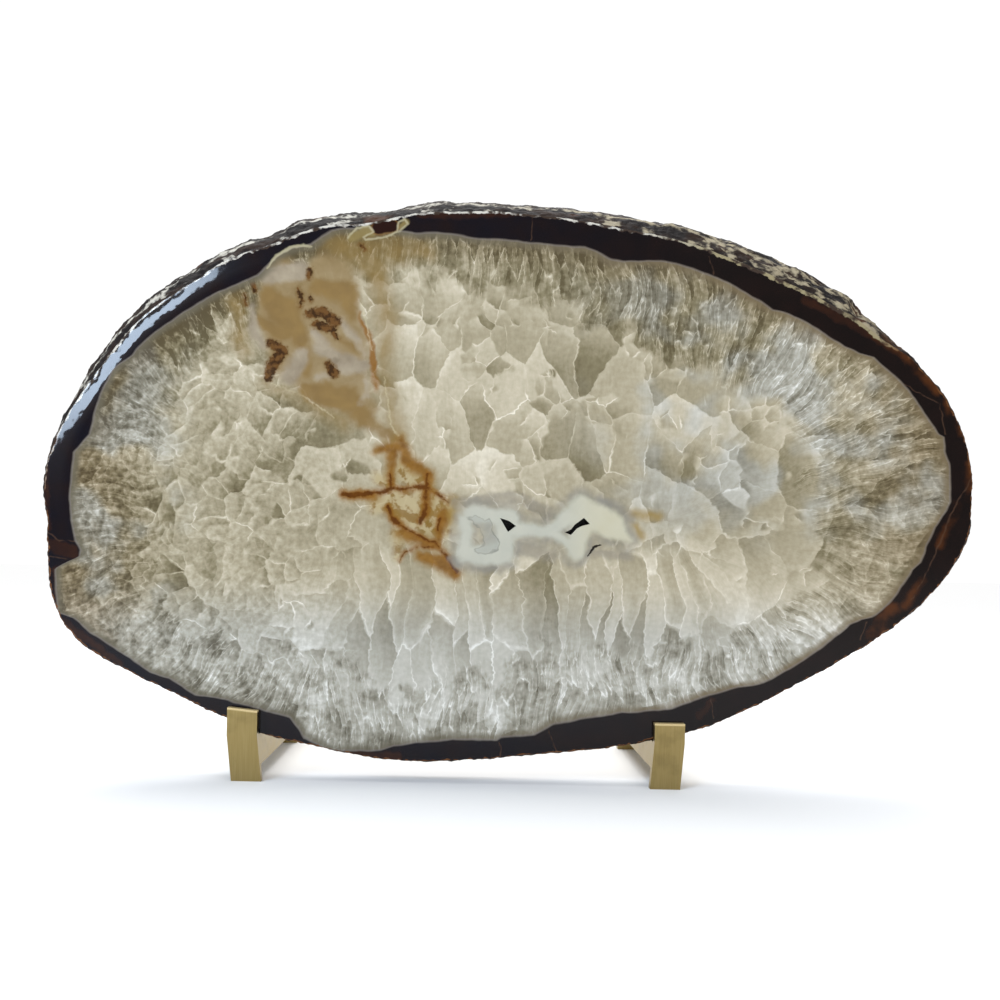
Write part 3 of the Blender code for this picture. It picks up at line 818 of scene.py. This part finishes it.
def brass_material():
    """Satin brass, brushed along the bar, with a painted highlight, a paler and less metallic strip, along the top of
    each front lip.
    """
    material, recipe, shader = new_material("satin_brass", {})
    across, up, depth, place = recipe.group(skin_places, ())
    brushed = recipe.joined(across, recipe.times(depth, 0.02), recipe.times(up, 0.02))
    streaks = recipe.group(clouds, (brushed, 0.22, 3.0))[0]
    bands = recipe.group(clouds, (brushed, 1.6, 1.0))[0]
    smudges = recipe.group(clouds, (place, 9.0, 3.0))[0]
    colour = recipe.mixed(streaks, srgb(134, 115, 68), srgb(182, 162, 112))
    colour = recipe.mixed(recipe.times(bands, 0.5), colour, srgb(150, 130, 82))
    colour = recipe.mixed(recipe.times(recipe.ease(smudges, 0.5, 0.75), 0.5), colour, srgb(126, 110, 72))
    height, middle, fall = LEFT_LIP
    left_top = recipe.maths("MULTIPLY_ADD", across, -fall, height + middle * fall)
    lip_top = recipe.between(recipe.ease(across, -10, 10), left_top, RIGHT_LIP)
    # Painted highlight: a paler, less metallic strip along the top edge of each front lip, where its bevel catches the
    # light
    bevel_highlight = recipe.ease(recipe.minus(lip_top, up), 1.0, 0.6)
    bevel_highlight = recipe.times(bevel_highlight, recipe.ease(depth, 0.5, 0.0))
    recipe.feed(shader.inputs["Base Color"], recipe.mixed(bevel_highlight, colour, srgb(214, 190, 138)))
    recipe.feed(shader.inputs["Metallic"], recipe.between(bevel_highlight, 1.0, 0.4))
    recipe.feed(shader.inputs["Roughness"], recipe.maths("MULTIPLY_ADD", streaks, 0.18, 0.28))
    bumped(recipe, shader, streaks, 0.02 * MM)
    return material


def select_only(piece):
    """Makes a piece the active object and the only selected one."""
    bpy.ops.object.select_all(action="DESELECT")
    bpy.context.view_layer.objects.active = piece
    piece.select_set(True)


def merged_copy(node, name):
    """A copy of a CAD node with its loose triangles joined, which takes the node's place."""
    select_only(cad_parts[node])
    bpy.ops.object.duplicate()
    piece = bpy.context.active_object
    piece.name = name
    piece.data.name = name
    for mark in list(piece.keys()):
        del piece[mark]
    piece.parent = None
    piece.data.materials.clear()
    bpy.ops.object.mode_set(mode="EDIT")
    bpy.ops.mesh.select_all(action="SELECT")
    bpy.ops.mesh.remove_doubles(threshold=0.01 * MM)
    bpy.ops.object.mode_set(mode="OBJECT")
    return piece


def select_faces(piece, chosen):
    """Selects faces by a list of yes and no, and nothing else."""
    bpy.context.tool_settings.mesh_select_mode = (False, False, True)
    mesh = piece.data
    mesh.vertices.foreach_set("select", np.zeros(len(mesh.vertices), bool))
    mesh.edges.foreach_set("select", np.zeros(len(mesh.edges), bool))
    mesh.polygons.foreach_set("select", chosen)


def select_verts(piece, numbers):
    """Selects vertices by their numbers, and nothing else, and opens edit mode."""
    select_faces(piece, np.zeros(len(piece.data.polygons), bool))
    bpy.context.tool_settings.mesh_select_mode = (True, False, False)
    chosen = np.zeros(len(piece.data.vertices), bool)
    chosen[numbers] = True
    piece.data.vertices.foreach_set("select", chosen)
    bpy.ops.object.mode_set(mode="EDIT")
    bpy.ops.mesh.select_mode(type="EDGE")


def face_values(piece, name):
    """The centres or normals of a piece's faces."""
    mesh = piece.data
    values = np.zeros(3 * len(mesh.polygons), np.float32)
    mesh.polygons.foreach_get(name, values)
    return values.reshape(-1, 3)


def vertex_places(piece):
    """The places of a piece's vertices."""
    values = np.zeros(3 * len(piece.data.vertices), np.float32)
    piece.data.vertices.foreach_get("co", values)
    return values.reshape(-1, 3)


def apply_modifiers(piece):
    select_only(piece)
    for modifier in list(piece.modifiers):
        bpy.ops.object.modifier_apply(modifier=modifier.name)


def open_rim():
    """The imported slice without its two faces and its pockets: a band of quads."""
    piece = merged_copy("agate_slice", "polished_slice")
    normals = face_values(piece, "normal")
    centres = face_values(piece, "center")
    from_middle = np.hypot(centres[:, 0] / (150 * MM), (centres[:, 2] - MIDDLE[1] * MM) / (85 * MM))
    select_faces(piece, (np.abs(normals[:, 1]) > 0.999) | (from_middle < 1))
    bpy.ops.object.mode_set(mode="EDIT")
    bpy.ops.mesh.delete(type="FACE")
    bpy.ops.mesh.select_all(action="SELECT")
    bpy.ops.mesh.tris_convert_to_quads(face_threshold=math.pi, shape_threshold=math.pi)
    bpy.ops.object.mode_set(mode="OBJECT")
    return piece


def roughen(piece, look):
    """Subdivides the rim and roughens its skin, always inwards."""
    smooth = piece.modifiers.new("finer", "SUBSURF")
    smooth.levels = 2
    smooth.render_levels = 2
    grain = bpy.data.textures.new("skin_grain", "CLOUDS")
    grain.noise_scale = look.grain_size
    grain.noise_depth = 2
    relief = piece.modifiers.new("grain", "DISPLACE")
    relief.texture = grain
    relief.strength = look.grain_height
    relief.mid_level = 0.8
    apply_modifiers(piece)


def rim_loops(piece):
    """The boundary loops' vertex numbers in the piece: the front one and the back one."""
    shape = bmesh.new()
    shape.from_mesh(piece.data)
    loops = {"front": [], "back": []}
    for vert in shape.verts:
        if vert.is_boundary:
            loops["front" if vert.co.y < MIDDLE_Y else "back"].append(vert.index)
    shape.free()
    return loops


def angle_order(places):
    """Puts the points of a loop in order round the middle."""
    angles = np.arctan2(places[:, 1] - MIDDLE[1], places[:, 0] - MIDDLE[0])
    return places[np.argsort(angles)]


def edge_distance(places, loop):
    """How far places are from a closed line of close points, in the face's plane."""
    tree = kdtree.KDTree(len(loop))
    for number, point in enumerate(loop):
        tree.insert((*point, 0), number)
    tree.balance()
    nearest = np.array([tree.find((*place, 0))[1] for place in places])
    gaps = []
    for first in (nearest - 1, nearest):
        run = loop[(first + 1) % len(loop)] - loop[first]
        along = ((places - loop[first]) * run).sum(1) / (run ** 2).sum(1)
        foot = loop[first] + np.clip(along, 0, 1)[:, None] * run
        gaps.append(np.linalg.norm(places - foot, axis=1))
    return np.minimum(np.minimum(*gaps), EDGE_REACH)


def band_depth(places):
    """How far places are inside the dark band's inner edge, in millimetres, negative in the band."""
    edge = np.array([face_place(*point) for point in BAND_EDGE]) - MIDDLE
    edge = edge[np.argsort(np.arctan2(edge[:, 1], edge[:, 0]))]
    angles = np.arctan2(edge[:, 1], edge[:, 0])
    here = places - MIDDLE
    lengths = np.hypot(edge[:, 0], edge[:, 1])
    limit = np.interp(np.arctan2(here[:, 1], here[:, 0]), angles, lengths, period=2 * math.pi)
    return limit - np.hypot(here[:, 0], here[:, 1])


# How far out the faces' rings lie, as shares of the way from the middle to the rim, and from what
# distance the rim no longer matters, in millimetres
FRONT_RINGS = (
    0.998, 0.994, 0.989, 0.983, 0.976, 0.968, 0.959, 0.949, 0.937, 0.92, 0.88, 0.8, 0.6, 0.45
)
BACK_RINGS = (0.997, 0.988, 0.97, 0.93, 0.8, 0.6, 0.45)
EDGE_REACH = 40
BAND_REACH = 60

# The stretch of the edge that is polished round, anticlockwise from the right, in degrees, and how
# soon it starts and ends
SHOULDER_ANGLES = (133, 188)
SHOULDER_FADE = 22
SHOULDER_CURVE = 1.7

# How many waves round the rim its polished edge follows
EVEN_WAVES = 24

# The kinds of faces, and how far the dark band's paint reaches inwards, in millimetres
FACE, SKIN, CAVITY = range(3)
BAND_PAINT_WIDTH = 7


def inward_rings(piece, loop, rings):
    """Runs rings of faces from a rim's edge towards the middle, and fills what is left."""
    centre = (MIDDLE[0] * MM, 0.0, MIDDLE[1] * MM)
    select_verts(piece, loop)
    size = 1.0
    for ring in rings:
        bpy.ops.mesh.extrude_edges_indiv()
        share = ring / size
        bpy.ops.transform.resize(value=(share, 1, share), center_override=centre)
        size = ring
    bpy.ops.object.mode_set(mode="OBJECT")


def add_cavities(piece):
    """Adds the two cavities' outlines and walls, whose outer edges lie open in the face's plane."""
    mesh = piece.data
    shape = bmesh.new()
    shape.from_mesh(mesh)
    for outline in CAVITIES:
        verts = []
        for x, y in outline:
            across, up = face_place(x, y)
            verts.append(shape.verts.new((across * MM, FACE_Y, up * MM)))
        mouth = shape.faces.new(verts)
        if mouth.normal.y < 0:
            mouth.normal_flip()
        wall = bmesh.ops.extrude_face_region(shape, geom=[mouth])
        deep = [item for item in wall["geom"] if isinstance(item, bmesh.types.BMVert)]
        bmesh.ops.translate(shape, verts=deep, vec=(0, CAVITY_DEPTH, 0))
        shape.faces.remove(mouth)
    shape.to_mesh(mesh)
    shape.free()


def even_radius(edge, angles):
    """How far a loop is from the middle at some angles in degrees, without its small notches."""
    offsets = edge - MIDDLE
    edge_angles = np.degrees(np.arctan2(offsets[:, 1], offsets[:, 0])) % 360
    order = np.argsort(edge_angles)
    steps = np.arange(0, 360, 0.5)
    radius = np.interp(steps, edge_angles[order], np.hypot(*offsets[order].T), period=360)
    spectrum = np.fft.rfft(radius)
    spectrum[EVEN_WAVES:] = 0
    return np.interp(angles, steps, np.fft.irfft(spectrum, len(steps)), period=360)


def polish_shoulder(piece, look, loop, rim_verts):
    """Lays both faces flat, and polishes the upper left edge of the front one round."""
    mesh = piece.data
    places = vertex_places(piece)
    flat = places[:, (0, 2)] / MM
    on_face = np.arange(len(places)) >= rim_verts
    on_face[loop["front"] + loop["back"]] = True
    front = places[:, 1] < MIDDLE_Y
    places[on_face & front, 1] = FACE_Y
    places[on_face & ~front, 1] = BACK_Y
    angles = np.degrees(np.arctan2(flat[:, 1] - MIDDLE[1], flat[:, 0] - MIDDLE[0])) % 360
    first, last = SHOULDER_ANGLES
    share = np.clip((angles - first) / SHOULDER_FADE, 0, 1) * np.clip((last - angles) / SHOULDER_FADE, 0, 1)
    drop = look.shoulder_depth * share * share * (3 - 2 * share)
    inner = on_face & front & (drop > 0)
    inside = even_radius(flat[loop["front"]], angles[inner]) - np.hypot(*(flat[inner] - MIDDLE).T)
    gone = np.clip(1 - inside * MM / look.shoulder_width, 0, 1)
    places[inner, 1] += drop[inner] * gone ** SHOULDER_CURVE
    polish = np.zeros(len(places))
    polish[inner] = drop[inner] / look.shoulder_depth * np.clip(gone * 3, 0, 1)
    mark = mesh.attributes.new("polish", "FLOAT", "POINT")
    mark.data.foreach_set("value", polish.astype(np.float32))
    outer = ~on_face
    depth = BACK_Y - FACE_Y
    places[outer, 1] = BACK_Y - (BACK_Y - places[outer, 1]) * (depth - drop[outer]) / depth
    mesh.vertices.foreach_set("co", places.ravel())
    mesh.update()


def fill_middles(piece):
    """Fills what the rings and the cavities' mouths leave open in both faces."""
    loops = rim_loops(piece)
    for side in ("front", "back"):
        select_verts(piece, loops[side])
        bpy.ops.mesh.fill(use_beauty=False)
        bpy.ops.object.mode_set(mode="OBJECT")


def mark_distances(piece, edges):
    """Notes at each vertex how far the rim and the dark band are, in millimetres."""
    mesh = piece.data
    places = vertex_places(piece)
    flat = places[:, (0, 2)] / MM
    rim = np.zeros(len(places))
    for side, here in (("front", places[:, 1] < MIDDLE_Y), ("back", places[:, 1] >= MIDDLE_Y)):
        rim[here] = edge_distance(flat[here], edges[side])
    band = np.clip(band_depth(flat), -BAND_REACH, BAND_REACH)
    for name, value in (("rim", rim), ("band", band)):
        mark = mesh.attributes.new(name, "FLOAT", "POINT")
        mark.data.foreach_set("value", value.astype(np.float32))


def cut_regions(piece):
    """Cuts both faces along the sides of the paints' boxes."""
    shape = bmesh.new()
    shape.from_mesh(piece.data)
    faces = [face for face in shape.faces if face.material_index == FACE]
    geometry = faces + list({item for face in faces for item in (*face.verts, *face.edges)})
    for _, box in PAINTS:
        if box is None:
            continue
        for x, y, side in zip(box[::2] + (0, 0), (0, 0) + box[1::2], (0, 0, 1, 1)):
            across, up = face_place(x, y)
            along = PHOTO_ROLL + side * math.pi / 2
            geometry = bmesh.ops.bisect_plane(
                shape, geom=geometry, dist=0.001 * MM, plane_co=(across * MM, FACE_Y, up * MM),
                plane_no=(math.cos(along), 0, math.sin(along)),
            )["geom"]
    shape.to_mesh(piece.data)
    shape.free()


def photo_pixels(places):
    """The pixels of the photograph at places on the face, in millimetres."""
    across = places[:, 0] / PIXEL - PHOTO_SHIFT[0]
    up = places[:, 1] / PIXEL - PHOTO_SHIFT[1]
    turned_across = across * math.cos(PHOTO_ROLL) + up * math.sin(PHOTO_ROLL)
    turned_up = up * math.cos(PHOTO_ROLL) - across * math.sin(PHOTO_ROLL)
    return PHOTO_AXIS[0] + turned_across, PHOTO_AXIS[1] - turned_up


def give_materials(piece):
    """Gives the skin, the cavities and each part of the faces its material."""
    mesh = piece.data
    centres = face_values(piece, "center")
    kinds = np.zeros(len(mesh.polygons), np.int32)
    mesh.polygons.foreach_get("material_index", kinds)
    flat = centres[:, (0, 2)] / MM
    x, y = photo_pixels(flat)
    rimward = band_depth(flat) < BAND_PAINT_WIDTH
    needs = np.zeros(len(mesh.polygons), np.int32)
    for number, (_, box) in enumerate(PAINTS):
        if box is None:
            here = rimward
        else:
            here = (x > box[0]) & (x < box[2]) & (y > box[1]) & (y < box[3])
        needs += here * 2 ** number
    mesh.materials.append(skin_material())
    mesh.materials.append(cavity_material())
    index = np.where(kinds == SKIN, 0, 1)
    for need in sorted(set(needs[kinds == FACE])):
        paints = [paint for number, (paint, _) in enumerate(PAINTS) if need >> number & 1]
        index[(kinds == FACE) & (needs == need)] = len(mesh.materials)
        mesh.materials.append(stone_material(paints))
    mesh.polygons.foreach_set("material_index", index.astype(np.int32))
    mesh.polygons.foreach_set("use_smooth", kinds != CAVITY)


def mark_kinds(piece, rim_faces):
    """Notes of each face whether it is polished, skin or a cavity's wall, as its material's number."""
    centres = face_values(piece, "center")
    from_middle = np.hypot(centres[:, 0] / (150 * MM), (centres[:, 2] - MIDDLE[1] * MM) / (85 * MM))
    inside = (from_middle < 1) & (centres[:, 1] > FACE_Y + MM) & (centres[:, 1] < BACK_Y - MM)
    kinds = np.where(inside, CAVITY, FACE)
    kinds[:rim_faces] = SKIN
    piece.data.polygons.foreach_set("material_index", kinds.astype(np.int32))


def shape_slice(look):
    """The whole slice as one closed mesh: rough rim, two polished faces and two cavities."""
    piece = open_rim()
    roughen(piece, look)
    rim_faces = len(piece.data.polygons)
    rim_verts = len(piece.data.vertices)
    loops = rim_loops(piece)
    edges = {}
    for side, rings in (("front", FRONT_RINGS), ("back", BACK_RINGS)):
        edges[side] = angle_order(vertex_places(piece)[loops[side]][:, (0, 2)] / MM)
        inward_rings(piece, loops[side], rings)
    polish_shoulder(piece, look, loops, rim_verts)
    add_cavities(piece)
    fill_middles(piece)
    mark_kinds(piece, rim_faces)
    cut_regions(piece)
    bpy.ops.object.mode_set(mode="EDIT")
    bpy.ops.mesh.select_all(action="SELECT")
    bpy.ops.mesh.normals_make_consistent(inside=False)
    bpy.ops.object.mode_set(mode="OBJECT")
    mark_distances(piece, edges)
    give_materials(piece)
    return piece


class AgateStoneLook(bpy.types.PropertyGroup):
    """The sizes of the stone's finish."""

    grain_size: bpy.props.FloatProperty(
        name="Grain Size", description="Size of the skin's fine grains", default=2.2 * MM, unit="LENGTH"
    )
    grain_height: bpy.props.FloatProperty(
        name="Grain Height", description="Height of the skin's fine grains", default=1.1 * MM, unit="LENGTH"
    )
    shoulder_depth: bpy.props.FloatProperty(
        name="Shoulder Depth", description="How far back the rounded edge falls", default=1.5 * MM, unit="LENGTH"
    )
    shoulder_width: bpy.props.FloatProperty(
        name="Shoulder Width", description="Width of the rounded edge", default=8.6 * MM, unit="LENGTH"
    )


class AgateStageLook(bpy.types.PropertyGroup):
    """The camera and the light."""

    camera_distance: bpy.props.FloatProperty(
        name="Camera Distance", description="From the camera to the cut face", default=0.45, unit="LENGTH"
    )
    surround_light: bpy.props.FloatProperty(
        name="Surround Light", description="Strength of the even light from all sides", default=0.45
    )
    sky_light: bpy.props.FloatProperty(
        name="Sky Light", description="Strength of the soft light from above", default=2.12
    )


class AGATE_OT_slice(bpy.types.Operator):
    """Shapes the polished slice"""

    bl_idname = "agate.slice"
    bl_label = "Polished Slice"
    bl_options = {"REGISTER", "UNDO"}

    def execute(self, context):
        piece = shape_slice(context.scene.agate_stone)
        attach(piece, "root")
        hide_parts("agate_slice")
        return {"FINISHED"}


class AGATE_OT_feet(bpy.types.Operator):
    """Gives both feet their satin brass"""

    bl_idname = "agate.feet"
    bl_label = "Brass Feet"
    bl_options = {"REGISTER", "UNDO"}

    def execute(self, context):
        brass = brass_material()
        for name in ("left_foot", "right_foot"):
            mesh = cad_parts[name].data
            mesh.materials.clear()
            mesh.materials.append(brass)
        return {"FINISHED"}


# The lights' colours, and how far the window that the polished edge reflects is turned
KEY_COLOUR = (1.0, 0.95, 0.87)
WINDOW_COLOUR = (0.65, 0.8, 1.0)
WINDOW_ROLL = 49


def add_floor():
    """The plain pale floor."""
    bpy.ops.mesh.primitive_plane_add(size=16)
    floor = bpy.context.active_object
    floor.name = "floor"
    material, recipe, shader = new_material("pale_floor", {"Base Color": (0.92, 0.92, 0.92), "Roughness": 0.9})
    floor.data.materials.append(material)


def add_surround(scene, strength):
    """Even light from all sides, in front of a white ground."""
    world = bpy.data.worlds.new("studio")
    scene.world = world
    world.use_nodes = True
    recipe = Recipe(world.node_tree)
    light = world.node_tree.nodes["Background"]
    light.inputs["Color"].default_value = (1, 1, 1, 1)
    light.inputs["Strength"].default_value = strength
    ground = recipe.add("ShaderNodeBackground", 0, {"Color": (1, 1, 1), "Strength": 1.05})
    seen = recipe.add("ShaderNodeLightPath", "Is Camera Ray", {})
    shown = recipe.add("ShaderNodeMixShader", 0, {0: seen, 1: light.outputs[0], 2: ground})
    recipe.feed(world.node_tree.nodes["World Output"].inputs["Surface"], shown)


def add_light(name, place, target, size, power, colour=(1, 1, 1), roll=0.0):
    """A soft rectangular light that points at a target, turned about its aim by some degrees."""
    bpy.ops.object.light_add(type="AREA", location=place)
    light = bpy.context.active_object
    light.name = name
    light.data.shape = "RECTANGLE"
    light.data.size, light.data.size_y = size
    light.data.energy = power
    light.data.color = colour
    aim = Vector(target) - Vector(place)
    turn = aim.to_track_quat("-Z", "Y").to_matrix() @ Matrix.Rotation(math.radians(roll), 3, "Z")
    light.rotation_euler = turn.to_euler()


def add_sky_light(strength):
    """Soft light from above, which keeps the floor pale far away."""
    bpy.ops.object.light_add(type="SUN", location=(0, 0, 2))
    light = bpy.context.active_object
    light.name = "sky_light"
    light.data.energy = strength
    light.data.angle = math.radians(50)
    light.rotation_euler = (math.radians(-14), math.radians(-8), 0)


def add_camera(scene, distance):
    """The camera at the photograph's viewing angle."""
    data = bpy.data.cameras.new("camera")
    camera = bpy.data.objects.new("camera", data)
    scene.collection.objects.link(camera)
    data.sensor_width = 36
    data.lens = 40.5
    data.shift_x = 0.034
    data.shift_y = 0.061
    camera.location = (-0.016, FACE_Y - distance, 0.0891)
    camera.rotation_euler = (math.radians(90), math.radians(-1.12), 0)
    scene.camera = camera


class AGATE_OT_stage(bpy.types.Operator):
    """Sets the floor, the lights and the camera"""

    bl_idname = "agate.stage"
    bl_label = "Stage"
    bl_options = {"REGISTER", "UNDO"}

    def execute(self, context):
        look = context.scene.agate_stage
        context.scene.view_settings.view_transform = "Standard"
        add_floor()
        add_surround(context.scene, look.surround_light)
        middle = (0, FACE_Y, MIDDLE[1] * MM)
        add_sky_light(look.sky_light)
        add_light("key_light", (0.7, -1.1, 1.0), middle, (1.0, 0.8), 2.6, KEY_COLOUR)
        shoulder = (-0.12, FACE_Y, 0.19)
        add_light("window", (-0.71, -0.9, 0.7), shoulder, (0.9, 0.3), 9.6, WINDOW_COLOUR, WINDOW_ROLL)
        add_light("back_light", (0.3, 1.2, 1.2), middle, (1.0, 0.8), 8)
        add_camera(context.scene, look.camera_distance)
        return {"FINISHED"}


class AGATE_PT_panel(bpy.types.Panel):
    """Lists the pieces in the 3D view's sidebar"""

    bl_label = "Agate Slice"
    bl_idname = "AGATE_PT_panel"
    bl_space_type = "VIEW_3D"
    bl_region_type = "UI"
    bl_category = "Agate Slice"

    def draw(self, context):
        for operator in OPERATORS:
            self.layout.operator(operator.bl_idname)


OPERATORS = (AGATE_OT_slice, AGATE_OT_feet, AGATE_OT_stage)
CLASSES = (AgateStoneLook, AgateStageLook, *OPERATORS, AGATE_PT_panel)


def register():
    for item in CLASSES:
        bpy.utils.register_class(item)
    bpy.types.Scene.agate_stone = bpy.props.PointerProperty(type=AgateStoneLook)
    bpy.types.Scene.agate_stage = bpy.props.PointerProperty(type=AgateStageLook)


def unregister():
    del bpy.types.Scene.agate_stage
    del bpy.types.Scene.agate_stone
    for item in reversed(CLASSES):
        bpy.utils.unregister_class(item)


def main():
    register()
    bpy.ops.agate.slice()
    bpy.ops.agate.feet()
    bpy.ops.agate.stage()


if __name__ == "__main__":
    main()
